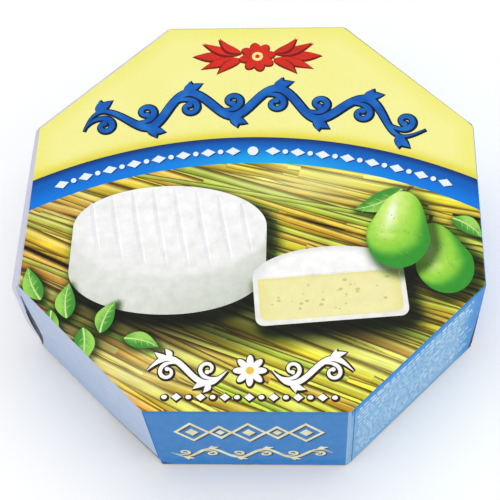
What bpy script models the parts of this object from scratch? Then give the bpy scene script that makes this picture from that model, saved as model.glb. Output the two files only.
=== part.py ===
"""A shut octagonal cheese carton, in metres: a folded board lid pulled down over its filled base.

The front wall faces -Y, the carton stands on z = 0 and +Z is up. Run it with
blender --background --python part.py, or from Blender's text editor.
"""

import math

import bmesh
import bpy
from mathutils import Vector

# Driving dimensions of the lid, taken outside
ACROSS_FLATS = 0.087  # from one wall to the opposite one
FRONT_LENGTH = 0.0364  # front wall, from corner to corner
BACK_LENGTH = 0.0369
SIDE_LENGTH = 0.0360  # the left and the right wall
HEIGHT = 0.0260  # table to the top's edge
CROWN = 0.0002  # how far the middle of the top stands up

# Folding board and the fit of the two halves
BOARD = 0.0005  # thickness
FIT_GAP = 0.0003  # between the lid and the base, all round and above
FOLD_RADIUS = 0.0006  # outside radius of every fold

LID_LIFT = 0.0008  # how far the lid's raw edge stays above the table
CORNER_LEAN = 0.0007  # how far the front wall's left end leans in along the wall, at the table

# The walls in order, seen from above, counted anticlockwise from the front one
WALLS = ("front", "front_right", "right", "back_right", "back", "back_left", "left", "front_left")

# How far the middle of each wall bows out
BOW = {"front": 0.00015, "front_right": 0.0003, "right": 0.0003, "back_right": 0.0002,
       "back": 0.0002, "back_left": 0.0002, "left": 0.0002, "front_left": 0.00025}

# A soft fold stands out as a shoulder just below the top, by this much at the wall's start and at its end
SHOULDER = {"back": (0.0001, 0.0002), "back_left": (0.0004, 0.0004), "left": (0.0009, 0.0013)}
SHOULDER_DROP = 0.0016  # below the top, where it stands out most
SHOULDER_END = 0.0130  # below the top, where it has gone

# The seam between two walls is a V down the corner, and two of the seams gape towards the table
SEAM_HALF_WIDTH = 0.00022
SEAM_DEPTH = 0.00022
GAPING_SEAMS = (("front_right", "right"), ("left", "front_left"))
GAPE_START = 0.0100  # below the top
GAPE_HALF_WIDTH = 0.00045
GAPE_DEPTH = 0.00040

# Fineness of the meshes
WALL_STEPS = 9  # stretches along one wall
FOLD_STEPS = 3  # stretches round one fold
WALL_LEVELS = (0.04, 0.08, 0.13, 0.20, 0.30, 0.42, 0.54, 0.66, 0.78, 0.89, 1.0)  # from a fold down to the edge
CROWN_STEPS = 4  # rings between the top's edge and its middle
SHARP_ANGLE = math.radians(25)

# Main colours of the print and of the bare board, with their roughness
PRINT_COLOUR = (0.89, 0.86, 0.36, 1.0)
PRINT_ROUGHNESS = 0.38
BOARD_COLOUR = (0.78, 0.78, 0.77, 1.0)
BOARD_ROUGHNESS = 0.75


def clear_scene():
    for thing in list(bpy.data.objects):
        bpy.data.objects.remove(thing)


def board_material(name, colour, roughness):
    material = bpy.data.materials.new(name)
    material.use_nodes = True
    shader = material.node_tree.nodes["Principled BSDF"]
    shader.inputs["Base Color"].default_value = colour
    shader.inputs["Roughness"].default_value = roughness
    shader.inputs["Metallic"].default_value = 0.0
    return material


def ease(share):
    """From 0 to 1 with no kink at either end."""
    share = min(max(share, 0.0), 1.0)
    return share * share * (3 - 2 * share)


def octagon_corners(inset, drop):
    """The eight corners at a drop below the top, moved in from the lid's outside by inset.

    Each one starts a wall, in the order of WALLS.
    """
    reach = ACROSS_FLATS / 2
    front, back, side = FRONT_LENGTH / 2, BACK_LENGTH / 2, SIDE_LENGTH / 2
    leaning = front - CORNER_LEAN * drop / HEIGHT
    corners = [Vector(place) for place in ((-leaning, -reach), (front, -reach), (reach, -side), (reach, side),
                                           (back, reach), (-back, reach), (-reach, side), (-reach, -side))]
    moved = []
    for index, corner in enumerate(corners):
        before = outward(corners[index - 1], corner)
        after = outward(corner, corners[(index + 1) % len(corners)])
        middle = (before + after).normalized()
        moved.append(corner - middle * inset / middle.dot(after))
    return moved


def outward(start, end):
    """Unit direction that a wall from start to end faces."""
    along = (end - start).normalized()
    return Vector((along.y, -along.x))


def wall_bulge(wall, share, drop):
    """How far a wall stands out at a share of its length and at a drop below the top."""
    bow = BOW[wall] * 4 * share * (1 - share) * math.sin(math.pi * min(drop / HEIGHT, 1.0))
    start, end = SHOULDER.get(wall, (0.0, 0.0))
    rise = ease(drop / SHOULDER_DROP)
    fall = 1 - ease((drop - SHOULDER_DROP) / (SHOULDER_END - SHOULDER_DROP))
    return bow + (start + (end - start) * share) * rise * fall


def seam_size(index, drop):
    """(half width, depth) of the seam between wall index and the next wall."""
    pair = (WALLS[index], WALLS[(index + 1) % len(WALLS)])
    share = ease((drop - GAPE_START) / (HEIGHT - GAPE_START)) if pair in GAPING_SEAMS else 0.0
    half_width = SEAM_HALF_WIDTH + (GAPE_HALF_WIDTH - SEAM_HALF_WIDTH) * share
    depth = SEAM_DEPTH + (GAPE_DEPTH - SEAM_DEPTH) * share
    return half_width, depth


def ring_round(inset, drop, seamed, bulged):
    """(x, y) at points all round: WALL_STEPS stretches a wall, then one point in the seam at its end."""
    corners = octagon_corners(inset, drop)
    points = []
    for index, wall in enumerate(WALLS):
        start, end = corners[index], corners[(index + 1) % len(WALLS)]
        facing = outward(start, end)
        run = (end - start).normalized()
        first = start + run * seam_size(index - 1, drop)[0]
        half_width, depth = seam_size(index, drop)
        last = end - run * half_width
        for step in range(WALL_STEPS + 1):
            share = step / WALL_STEPS
            spot = first.lerp(last, share)
            if bulged:
                spot += facing * wall_bulge(wall, share, drop)
            points.append((spot.x, spot.y))
        corner = end - end.normalized() * depth if seamed else end
        points.append((corner.x, corner.y))
    return points


def add_ring(mesh, points, height):
    return [mesh.verts.new((x, y, height)) for x, y in points]


def join_rings(mesh, first, second):
    """A band of faces between two rings of as many points."""
    count = len(first)
    for here in range(count):
        following = (here + 1) % count
        mesh.faces.new((first[here], first[following], second[following], second[here]))


def add_wall_rings(mesh, board):
    """One face of the lid's board, from the top's edge round the fold and down to the raw edge.

    board is how deep this face lies in the board: 0 for the outside and BOARD for the inside.
    """
    radius = FOLD_RADIUS - board
    levels = []
    for step in range(FOLD_STEPS + 1):
        turn = math.pi / 2 * step / FOLD_STEPS
        levels.append((board + radius * (1 - math.sin(turn)), board + radius * (1 - math.cos(turn))))
    for share in WALL_LEVELS:
        levels.append((board, FOLD_RADIUS + (HEIGHT - LID_LIFT - FOLD_RADIUS) * share))
    rings = []
    for inset, drop in levels:
        rings.append(add_ring(mesh, ring_round(inset, drop, board == 0.0, True), HEIGHT - drop))
    for upper, lower in zip(rings, rings[1:]):
        join_rings(mesh, upper, lower)
    return rings


def add_crown(mesh, edge):
    """Closes a ring with a shallow crown."""
    last = edge
    for step in range(1, CROWN_STEPS):
        share = 1 - step / CROWN_STEPS
        lift = CROWN * (1 - share * share)
        ring = [mesh.verts.new((spot.co.x * share, spot.co.y * share, spot.co.z + lift)) for spot in edge]
        join_rings(mesh, last, ring)
        last = ring
    middle = mesh.verts.new((0.0, 0.0, edge[0].co.z + CROWN))
    for here in range(len(last)):
        mesh.faces.new((last[here], last[(here + 1) % len(last)], middle))


def mesh_object(name, mesh, material):
    bmesh.ops.recalc_face_normals(mesh, faces=mesh.faces)
    data = bpy.data.meshes.new(name)
    mesh.to_mesh(data)
    mesh.free()
    data.materials.append(material)
    data.shade_smooth()
    data.set_sharp_from_angle(angle=SHARP_ANGLE)
    part = bpy.data.objects.new(name, data)
    bpy.context.scene.collection.objects.link(part)
    return part


def make_lid():
    """The folded lid: a crowned top and eight walls, open below, where the base fills it."""
    mesh = bmesh.new()
    outside = add_wall_rings(mesh, 0.0)
    inside = add_wall_rings(mesh, BOARD)
    add_crown(mesh, outside[0])
    add_crown(mesh, inside[0])
    join_rings(mesh, outside[-1], inside[-1])
    return mesh_object("lid", mesh, board_material("printed board", PRINT_COLOUR, PRINT_ROUGHNESS))


def make_base():
    """The base and all that it holds, as one solid: its bottom fold shows below the lid's edge."""
    mesh = bmesh.new()
    wall_inset = BOARD + FIT_GAP
    levels = []
    for step in range(FOLD_STEPS + 1):
        turn = math.pi / 2 * step / FOLD_STEPS
        levels.append((wall_inset + FOLD_RADIUS * (1 - math.sin(turn)), FOLD_RADIUS * (1 - math.cos(turn))))
    levels.append((wall_inset, HEIGHT - BOARD - FIT_GAP))
    rings = []
    for inset, height in levels:
        rings.append(add_ring(mesh, ring_round(inset, HEIGHT - height, True, False), height))
    mesh.faces.new(rings[0])
    mesh.faces.new(rings[-1])
    for lower, upper in zip(rings, rings[1:]):
        join_rings(mesh, lower, upper)
    return mesh_object("base", mesh, board_material("plain board", BOARD_COLOUR, BOARD_ROUGHNESS))


def centre_over_origin(parts):
    """Moves the meshes together, so that the middle of the box round them is over the origin."""
    spots = [spot.co for part in parts for spot in part.data.vertices]
    middle_x = (min(spot.x for spot in spots) + max(spot.x for spot in spots)) / 2
    middle_y = (min(spot.y for spot in spots) + max(spot.y for spot in spots)) / 2
    for part in parts:
        for spot in part.data.vertices:
            spot.co.x -= middle_x
            spot.co.y -= middle_y


clear_scene()
centre_over_origin([make_lid(), make_base()])
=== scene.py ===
import math

import bpy
import numpy as np
from mathutils import Matrix, Vector, noise
from mathutils.geometry import delaunay_2d_cdt


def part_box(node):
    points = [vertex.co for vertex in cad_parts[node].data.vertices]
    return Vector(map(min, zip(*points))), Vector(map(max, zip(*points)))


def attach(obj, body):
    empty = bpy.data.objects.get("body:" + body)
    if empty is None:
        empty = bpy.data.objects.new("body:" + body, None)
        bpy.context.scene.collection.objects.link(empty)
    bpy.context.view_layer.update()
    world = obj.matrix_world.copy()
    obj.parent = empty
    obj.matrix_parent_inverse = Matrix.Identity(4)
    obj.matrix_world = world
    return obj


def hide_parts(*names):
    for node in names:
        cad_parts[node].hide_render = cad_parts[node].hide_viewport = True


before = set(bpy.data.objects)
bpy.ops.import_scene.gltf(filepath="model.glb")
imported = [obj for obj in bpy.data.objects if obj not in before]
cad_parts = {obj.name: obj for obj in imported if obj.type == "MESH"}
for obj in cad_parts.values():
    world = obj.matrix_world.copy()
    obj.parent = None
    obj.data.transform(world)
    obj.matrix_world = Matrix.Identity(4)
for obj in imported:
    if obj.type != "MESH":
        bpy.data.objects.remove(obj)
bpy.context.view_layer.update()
print("frame loaded:", sorted(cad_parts))

# The carton and its print are laid out in millimetres, x to the right and y away from the front wall,
# with 0, 0 in the middle of the octagon. Print colours are sRGB, 0 to 255.
mm = 0.001
lowBase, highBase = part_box("base")
centreX = (lowBase.x + highBase.x) / 2  # the octagon's middle; the soft left fold moves the whole box off it
centreY = (lowBase.y + highBase.y) / 2
random = np.random.default_rng(7)

# sizes of the folded lid, the same as in the model; walls are counted from the front one, anticlockwise
carton = {
    "acrossFlats": 87.0,
    "frontLength": 36.4,
    "backLength": 36.9,
    "sideLength": 36.0,
    "height": 26.0,  # table to the top's edge
    "crown": 0.2,
    "crownPower": 8,  # the higher, the nearer the crown's level lines come to the octagon
    "board": 0.5,
    "foldRadius": 0.6,
    "lidLift": 0.8,  # raw edge above the table
    "cornerLean": 0.7,
    "bow": [0.15, 0.3, 0.3, 0.2, 0.2, 0.2, 0.2, 0.25],  # of each wall
    "shoulder": {4: (0.1, 0.2), 5: (0.4, 0.4), 6: (0.6, 1.3)},  # by wall: at its start and its end
    "shoulderDrop": 1.6,
    "shoulderEnd": 13.0,
    "liftedFlap": {"wall": 6, "from": 0.45, "out": 1.2, "holds": 15.0, "ends": 26.0},  # its end stands off
    "seamHalfWidth": 0.22,
    "seamDepth": 0.22,
    "gapingSeams": [2, 7],  # the seam at the start of each of these walls
    "gapeStart": 10.0,
    "gapeHalfWidth": 0.45,
    "gapeDepth": 0.40,
}
halfFlats = carton["acrossFlats"] / 2


# shape of the lid

def ease(share):
    share = np.clip(share, 0.0, 1.0)
    return share * share * (3 - 2 * share)


def outward(start, end):
    along = (end - start) / np.linalg.norm(end - start)
    return np.array([along[1], -along[0]])


def octagonCorners(inset, drop):
    front = carton["frontLength"] / 2
    back = carton["backLength"] / 2
    side = carton["sideLength"] / 2
    leaning = front - carton["cornerLean"] * drop / carton["height"]
    reach = halfFlats
    corners = np.array([(-leaning, -reach), (front, -reach), (reach, -side), (reach, side),
                        (back, reach), (-back, reach), (-reach, side), (-reach, -side)])
    moved = []
    for index in range(8):
        before = outward(corners[index - 1], corners[index])
        after = outward(corners[index], corners[(index + 1) % 8])
        middle = (before + after) / np.linalg.norm(before + after)
        moved.append(corners[index] - middle * inset / middle.dot(after))
    return np.array(moved)


def wallBulge(wall, share, drop):
    bow = carton["bow"][wall] * 4 * share * (1 - share)
    bow *= math.sin(math.pi * min(drop / carton["height"], 1.0))
    start, end = carton["shoulder"].get(wall, (0.0, 0.0))
    rise = ease(drop / carton["shoulderDrop"])
    fall = 1 - ease((drop - carton["shoulderDrop"]) / (carton["shoulderEnd"] - carton["shoulderDrop"]))
    out = (start + (end - start) * share) * rise * fall
    flap = carton["liftedFlap"]
    if wall == flap["wall"]:
        held = 1 - ease((drop - flap["holds"]) / (flap["ends"] - flap["holds"]))
        out = max(out, flap["out"] * rise * held * ease((share - flap["from"]) / (1 - flap["from"])))
    return bow + out


def seamSize(wall, drop):
    # half width and depth of the seam at a wall's start
    share = 0.0
    if wall % 8 in carton["gapingSeams"]:
        share = float(ease((drop - carton["gapeStart"]) / (carton["height"] - carton["gapeStart"])))
    halfWidth = carton["seamHalfWidth"] + (carton["gapeHalfWidth"] - carton["seamHalfWidth"]) * share
    depth = carton["seamDepth"] + (carton["gapeDepth"] - carton["seamDepth"]) * share
    return halfWidth, depth


wallLengths = [float(np.linalg.norm(b - a)) for a, b in
               zip(octagonCorners(0, 0), np.roll(octagonCorners(0, 0), -1, axis=0))]
wallStarts = np.concatenate([[0.0], np.cumsum(wallLengths)])  # where each wall starts along the unrolled skin
foldArc = carton["foldRadius"] * math.pi / 4  # the half of the fold that belongs to the walls
skinDepth = foldArc + carton["height"] - carton["lidLift"] - carton["foldRadius"]

# the flap of the front left wall is cut slanting near the front, where the tab under it shows
slantFlap = {
    "wall": 7,
    "from": 0.56,  # share of the wall's length where the cut leaves the lid's edge
    "rise": 2.9,  # above the lid's edge, at the front corner
    "step": 0.22,  # how far the tab lies behind the flap
    "slack": 0.02,  # keeps the points on the cut itself with the flap
}


def slantHeight(share):
    return slantFlap["rise"] * max(0.0, (share - slantFlap["from"]) / (1 - slantFlap["from"]))


def dropOf(down):
    # (inset, drop) at a distance down the unrolled skin, which starts half way round the fold
    radius = carton["foldRadius"]
    if down < foldArc:
        turn = math.pi / 4 + down / radius
        return radius * (1 - math.sin(turn)), radius * (1 - math.cos(turn))
    return 0.0, down - foldArc + radius


def wallSpot(wall, start, end, firstHalf, lastHalf, share, drop):
    run = (end - start) / np.linalg.norm(end - start)
    first = start + run * firstHalf
    last = end - run * lastHalf
    out = wallBulge(wall, share, drop)
    if wall == slantFlap["wall"]:
        lidDrop = carton["height"] - carton["lidLift"]
        under = lidDrop - drop < slantHeight(share) - slantFlap["slack"]
        out -= slantFlap["step"] if under else 0.0
    return first + (last - first) * share + outward(start, end) * out


def skinPoint(along, down):
    # a point of the unrolled skin, folded up, with z from the table
    inset, drop = dropOf(down)
    along = along % wallStarts[-1]
    wall = min(int(np.searchsorted(wallStarts, along, side="right")) - 1, 7)
    corners = octagonCorners(inset, drop)
    start, end = corners[wall], corners[(wall + 1) % 8]
    length = wallLengths[wall]
    here = along - wallStarts[wall]
    firstHalf, firstDepth = seamSize(wall, drop)
    lastHalf, lastDepth = seamSize(wall + 1, drop)
    half = carton["seamHalfWidth"]  # a seam's own width in the unrolled skin
    if here < half:
        low = start * (1 - firstDepth / np.linalg.norm(start))
        high = wallSpot(wall, start, end, firstHalf, lastHalf, 0.0, drop)
        spot = low + (high - low) * here / half
    elif here > length - half:
        low = end * (1 - lastDepth / np.linalg.norm(end))
        high = wallSpot(wall, start, end, firstHalf, lastHalf, 1.0, drop)
        spot = low + (high - low) * (length - here) / half
    else:
        share = (here - half) / (length - 2 * half)
        spot = wallSpot(wall, start, end, firstHalf, lastHalf, share, drop)
    return float(spot[0]), float(spot[1]), carton["height"] - drop


def foldDepth(x, y):
    # how far the top's surface lies below its edge level, and how far the octagon's edge is
    corners = octagonCorners(0, 0)
    nearest = np.full(np.shape(x), np.inf)
    for start, end in zip(corners, np.roll(corners, -1, axis=0)):
        facing = outward(start, end)
        nearest = np.minimum(nearest, (start @ facing) - (x * facing[0] + y * facing[1]))
    radius = carton["foldRadius"]
    over = np.clip(1 - nearest / radius, 0.0, math.sin(math.pi / 4))
    return radius * (1 - np.sqrt(1 - over * over)), nearest


def crownHeight(x, y):
    # a smooth crown with eight soft sides
    power = carton["crownPower"]
    total = np.zeros(np.shape(x))
    for index in range(8):
        turn = index * math.pi / 4
        total += np.abs((x * math.cos(turn) + y * math.sin(turn)) / halfFlats) ** power
    share = np.clip((total / 2) ** (1 / power), 0, 1)
    return carton["crown"] * (1 - share * share)


# tools for print: outlines, and colours for the points inside them

def mix(first, second, share):
    share = np.clip(np.asarray(share, float), 0, 1)[..., None]
    return np.asarray(first, float) * (1 - share) + np.asarray(second, float) * share


def cloud(x, y, size, seed=0.0):
    # soft noise from -1 to 1 with blobs of about size millimetres
    return np.array([noise.noise(Vector((a / size, b / size, seed))) for a, b in zip(x, y)])


def ramp(value, start, length):
    # rises smoothly from 0 to 1
    return ease((value - start) / length)


def peak(distance, width):
    # 1 where there is no distance, and fades out on both sides
    return np.exp(-(distance / width) ** 2)


def flat(colour, mottle=0.0):
    def paint(x, y):
        base = np.tile(np.asarray(colour, float), (len(x), 1))
        return base * (1 + mottle * cloud(x, y, 3.0)[:, None]) if mottle else base
    return paint


def shape(loops, paint, grain=0.0, bloom=0.0, flow=None, covers=False):
    # loops: outlines, the later ones cutting holes. grain and bloom drive streaks and mottling in the
    # material, and flow gives the places along and across the streaks. What lies under a shape that
    # covers isn't cut out.
    if not isinstance(loops, list):
        loops = [loops]
    return {"loops": [np.asarray(loop, float) for loop in loops], "paint": paint, "grain": grain,
            "bloom": bloom, "flow": flow, "covers": covers, "shade": None}


def each(outlines, paint, offset=(0.0, 0.0)):
    # a shape for each outline, or list of outlines, moved by offset
    groups = [group if isinstance(group, list) else [group] for group in outlines]
    return [shape([loop + offset for loop in group], paint) for group in groups]


# how the print is cut into triangles, and shaded
sheetMesh = {
    "longestSide": 2.0,  # of an outline
    "shadeSide": 0.5,  # of a soft shade's outline
    "margin": 5.0,  # outlines are clipped this far outside the sheet
    "rowPitch": 0.87,  # between rows of points, for 1 between the points of a row
    "merge": 1e-4,
    "nudge": 0.02,  # a triangle's corners are painted this share nearer to its middle, inside its shape
    "shadeReach": 3,  # how many times its own fade a soft shade is worked out
    "shadeTint": (1.10, 0.88, 1.22),  # a soft shade keeps a little more green than red and blue
    "sharpAngle": 28,  # degrees
    "bareBoard": (0.72, 0.71, 0.68, 1.0),  # linear, where nothing is printed
}


def softShade(outline, strength, fade):
    # darkens what lies before it in the list, without cutting it, and fades out over fade millimetres
    return {**shape(outline, None), "shade": (strength, fade)}


def shadeAt(item, x, y):
    strength, fade = item["shade"]
    outline = finerLoop(item["loops"][0], sheetMesh["shadeSide"])
    nearest = np.full(len(x), np.inf)
    for px, py in outline:
        nearest = np.minimum(nearest, np.hypot(x - px, y - py))
    return strength * np.where(contains([outline], x, y), 1.0, np.exp(-(nearest / fade) ** 2))


def placed(x, y, centre, turn):
    # points turned about 0, 0 and moved to centre
    return np.stack([centre[0] + x * math.cos(turn) - y * math.sin(turn),
                     centre[1] + x * math.sin(turn) + y * math.cos(turn)], 1)


def local(x, y, centre, turn):
    # the opposite of placed
    dx, dy = x - centre[0], y - centre[1]
    return dx * math.cos(turn) + dy * math.sin(turn), dy * math.cos(turn) - dx * math.sin(turn)


def ellipse(cx, cy, rx, ry, count=40, turn=0.0):
    angles = np.linspace(0, math.tau, count, endpoint=False)
    return placed(rx * np.cos(angles), ry * np.sin(angles), (cx, cy), turn)


def disc(cx, cy, radius, count):
    return ellipse(cx, cy, radius, radius, count)


def curve(points, count):
    # a smooth line through the points
    points = np.asarray(points, float)
    padded = np.vstack([2 * points[0] - points[1], points, 2 * points[-1] - points[-2]])
    result = []
    for index in range(len(points) - 1):
        a, b, c, d = padded[index:index + 4]
        for t in np.linspace(0, 1, count, endpoint=False):
            result.append(0.5 * (2 * b + (c - a) * t + (2 * a - 5 * b + 4 * c - d) * t ** 2
                                 + (3 * b - a - 3 * c + d) * t ** 3))
    result.append(points[-1])
    return np.array(result)


def brush(line, widths):
    # the outline of a stroke along a line, as wide as widths says from its start to its end
    line = np.asarray(line, float)
    run = np.gradient(line, axis=0)
    run /= np.linalg.norm(run, axis=1)[:, None] + 1e-9
    side = np.stack([-run[:, 1], run[:, 0]], 1)
    spread = np.interp(np.linspace(0, 1, len(line)), np.linspace(0, 1, len(widths)), widths)[:, None] / 2
    return np.vstack([line + side * spread, (line - side * spread)[::-1]])


def spineOf(base, tip, bend, shares):
    # a line from base to tip, its middle pushed sideways by bend, with the ways to the tip and sideways
    base = np.asarray(base, float)
    run = np.asarray(tip, float) - base
    side = np.array([-run[1], run[0]]) / np.linalg.norm(run)
    return base + run * shares[:, None] + side * (bend * np.sin(math.pi * shares))[:, None], run, side


def leaf(base, tip, width, bend=0.0, count=12):
    # a pointed leaf between two points
    shares = np.linspace(0, 1, count)
    spine, _, side = spineOf(base, tip, bend, shares)
    half = width / 2 * np.sin(math.pi * shares ** 0.8)
    return np.vstack([spine + side * half[:, None], (spine - side * half[:, None])[::-1][1:-1]])


def contains(loops, x, y):
    inside = np.zeros(len(x), bool)
    for loop in loops:
        ends = np.roll(loop, -1, axis=0)
        for (ax, ay), (bx, by) in zip(loop, ends):
            if ay == by:
                continue
            crosses = (ay > y) != (by > y)
            inside ^= crosses & (x < (bx - ax) * (y - ay) / (by - ay) + ax)
    return inside


def finerLoop(loop, step):
    # the same outline with no side longer than step
    result = []
    for start, end in zip(loop, np.roll(loop, -1, axis=0)):
        count = max(1, math.ceil(np.linalg.norm(end - start) / step))
        result += [start + (end - start) * i / count for i in range(count)]
    return np.array(result)


def cutSheet(outline, shapes, spacing, extraLines):
    # the points, triangles and triangles' middles of a flat sheet with an edge along each outline that shows
    verts = [tuple(p) for p in outline]
    edges = [(i, (i + 1) % len(outline)) for i in range(len(outline))]

    def addLine(line, closed, shown=None):
        numbers = {}
        count = len(line)
        for i in range(count if closed else count - 1):
            if shown is None or shown[i]:
                for end in (i, (i + 1) % count):
                    if end not in numbers:
                        numbers[end] = len(verts)
                        verts.append(tuple(line[end]))
                edges.append((numbers[i], numbers[(i + 1) % count]))

    low, high = outline.min(0), outline.max(0)
    margin = sheetMesh["margin"]
    for index, item in enumerate(shapes):
        for loop in item["loops"]:
            if item["shade"] or (loop.max(0) <= low).any() or (loop.min(0) >= high).any():
                continue
            loop = finerLoop(np.clip(loop, low - margin, high + margin), sheetMesh["longestSide"])
            middle = (loop + np.roll(loop, -1, axis=0)) / 2
            shown = np.ones(len(loop), bool)
            for later in shapes[index + 1:]:
                if later["covers"]:
                    shown &= ~contains(later["loops"], middle[:, 0], middle[:, 1])
            addLine(loop, True, shown)
    for line in extraLines:
        addLine(line, False)
    pitch = sheetMesh["rowPitch"]
    columns = int((high[0] - low[0]) / spacing) + 1
    rows = int((high[1] - low[1]) / (spacing * pitch)) + 1
    gridX, gridY = np.meshgrid(np.arange(columns), np.arange(rows))
    gridX = (low[0] + (gridX + 0.5 * (gridY % 2) + 0.25) * spacing).ravel()
    gridY = (low[1] + (gridY + 0.5) * spacing * pitch).ravel()
    keep = contains([outline], gridX, gridY)
    verts.extend(zip(gridX[keep].tolist(), gridY[keep].tolist()))
    made = delaunay_2d_cdt([Vector(v) for v in verts], edges, [], 0, sheetMesh["merge"])
    points = np.array([tuple(v) for v in made[0]])
    faces = np.array([tuple(f) for f in made[2] if len(f) == 3])
    middle = points[faces].mean(1)
    inside = contains([outline], middle[:, 0], middle[:, 1])
    used, faces = np.unique(faces[inside], return_inverse=True)
    return points[used], faces.reshape(-1, 3), middle[inside]


def paintedSheet(outline, shapes, spacing, extraLines=(), finish=None):
    # Cuts a flat sheet and colours each triangle by the last shape that holds it. Gives the points and
    # triangles, and what meshPiece stores on them.
    points, faces, middle = cutSheet(outline, shapes, spacing, extraLines)
    owner = np.zeros(len(faces), int)
    for index, item in enumerate(shapes):
        if not item["shade"]:
            corner = np.vstack(item["loops"])
            near = ((middle >= corner.min(0)) & (middle <= corner.max(0))).all(1)
            spots = np.nonzero(near)[0]
            owner[spots[contains(item["loops"], middle[spots, 0], middle[spots, 1])]] = index
    colours = np.zeros((len(faces), 3, 3))
    flows = np.zeros((len(faces), 3, 3))
    for index, item in enumerate(shapes):
        mine = np.nonzero(owner == index)[0]
        if len(mine):
            spots = points[faces[mine]].reshape(-1, 2)
            spots = spots + (np.repeat(middle[mine], 3, axis=0) - spots) * sheetMesh["nudge"]
            colours[mine] = item["paint"](spots[:, 0], spots[:, 1]).reshape(-1, 3, 3)
            if item["flow"]:
                flows[mine, :, :2] = item["flow"](spots[:, 0], spots[:, 1]).reshape(-1, 3, 2)
                flows[mine, :, 2] = index
    colours = colours.reshape(-1, 3)
    spots = points[faces].reshape(-1, 2)
    owners = np.repeat(owner, 3)
    for index, item in enumerate(shapes):
        if item["shade"]:
            span = sheetMesh["shadeReach"] * item["shade"][1]
            low, high = item["loops"][0].min(0) - span, item["loops"][0].max(0) + span
            near = np.nonzero(((spots > low) & (spots < high)).all(1) & (owners < index))[0]
            dark = shadeAt(item, spots[near, 0], spots[near, 1])
            colours[near] *= (1 - dark)[:, None] ** np.array(sheetMesh["shadeTint"])
    if finish:
        colours = finish(spots[:, 0], spots[:, 1], colours, owners)
    srgb = np.clip(colours / 255, 0, 1)
    linear = np.where(srgb <= 0.04045, srgb / 12.92, ((srgb + 0.055) / 1.055) ** 2.4)
    grain = np.array([item["grain"] for item in shapes])[owner]
    bloom = np.array([item["bloom"] for item in shapes])[owner]
    return points, faces, {"ink": linear, "flow": flows, "grain": grain, "bloom": bloom}


def borderLoop(faces):
    # the outer edge of a sheet of triangles, as a closed run of point numbers
    edges = np.concatenate([faces[:, [0, 1]], faces[:, [1, 2]], faces[:, [2, 0]]])
    known = set(map(tuple, edges.tolist()))
    following = {a: b for a, b in known if (b, a) not in known}
    start = next(iter(following))
    loop = [start]
    while following[loop[-1]] != start:
        loop.append(following[loop[-1]])
    return loop


def meshPiece(name, points, faces, painted, material):
    # painted belongs to the first faces, which are triangles; the rest are bare board
    data = bpy.data.meshes.new(name)
    data.from_pydata([(x * mm + centreX, y * mm + centreY, z * mm) for x, y, z in points], [], faces)
    count = len(painted["grain"])
    ink = np.tile(np.array(sheetMesh["bareBoard"]), (len(data.loops), 1))
    ink[:count * 3, :3] = painted["ink"].reshape(-1, 3)
    flow = np.zeros((len(data.loops), 3))
    flow[:count * 3] = painted["flow"].reshape(-1, 3)
    data.color_attributes.new("ink", "FLOAT_COLOR", "CORNER").data.foreach_set("color", ink.ravel())
    data.attributes.new("flow", "FLOAT_VECTOR", "CORNER").data.foreach_set("vector", flow.ravel())
    for kind in ("grain", "bloom"):
        values = np.concatenate([painted[kind], np.zeros(len(faces) - count)])
        data.attributes.new(kind, "FLOAT", "FACE").data.foreach_set("value", values)
    data.materials.append(material)
    data.validate()
    data.shade_smooth()
    data.set_sharp_from_angle(angle=math.radians(sheetMesh["sharpAngle"]))
    piece = bpy.data.objects.new(name, data)
    bpy.context.scene.collection.objects.link(piece)
    print(name, "has", len(data.polygons), "faces")
    return piece


# printed board: ink from the mesh, streaks in the straw, mottling in the rind, paper grain under varnish
boardFinish = {
    "roughness": (0.34, 0.50),
    "gloss": 0.14,
    "glossSize": 1.6,  # all sizes are in millimetres
    "inkStrength": 0.95,
    "inkUnevenness": 0.05,
    "unevenSize": 0.5,
    "mottling": 0.16,
    "mottleSize": 2.2,
    "streaks": 0.5,
    "streakSize": (9.0, 0.16, 0.37),  # along and across a stalk, and from one stalk to the next
    "fibres": {"size": 0.16, "strength": 0.10, "depth": 0.04},
    "warp": {"size": 9.0, "strength": 0.35, "depth": 0.2},
}


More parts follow.
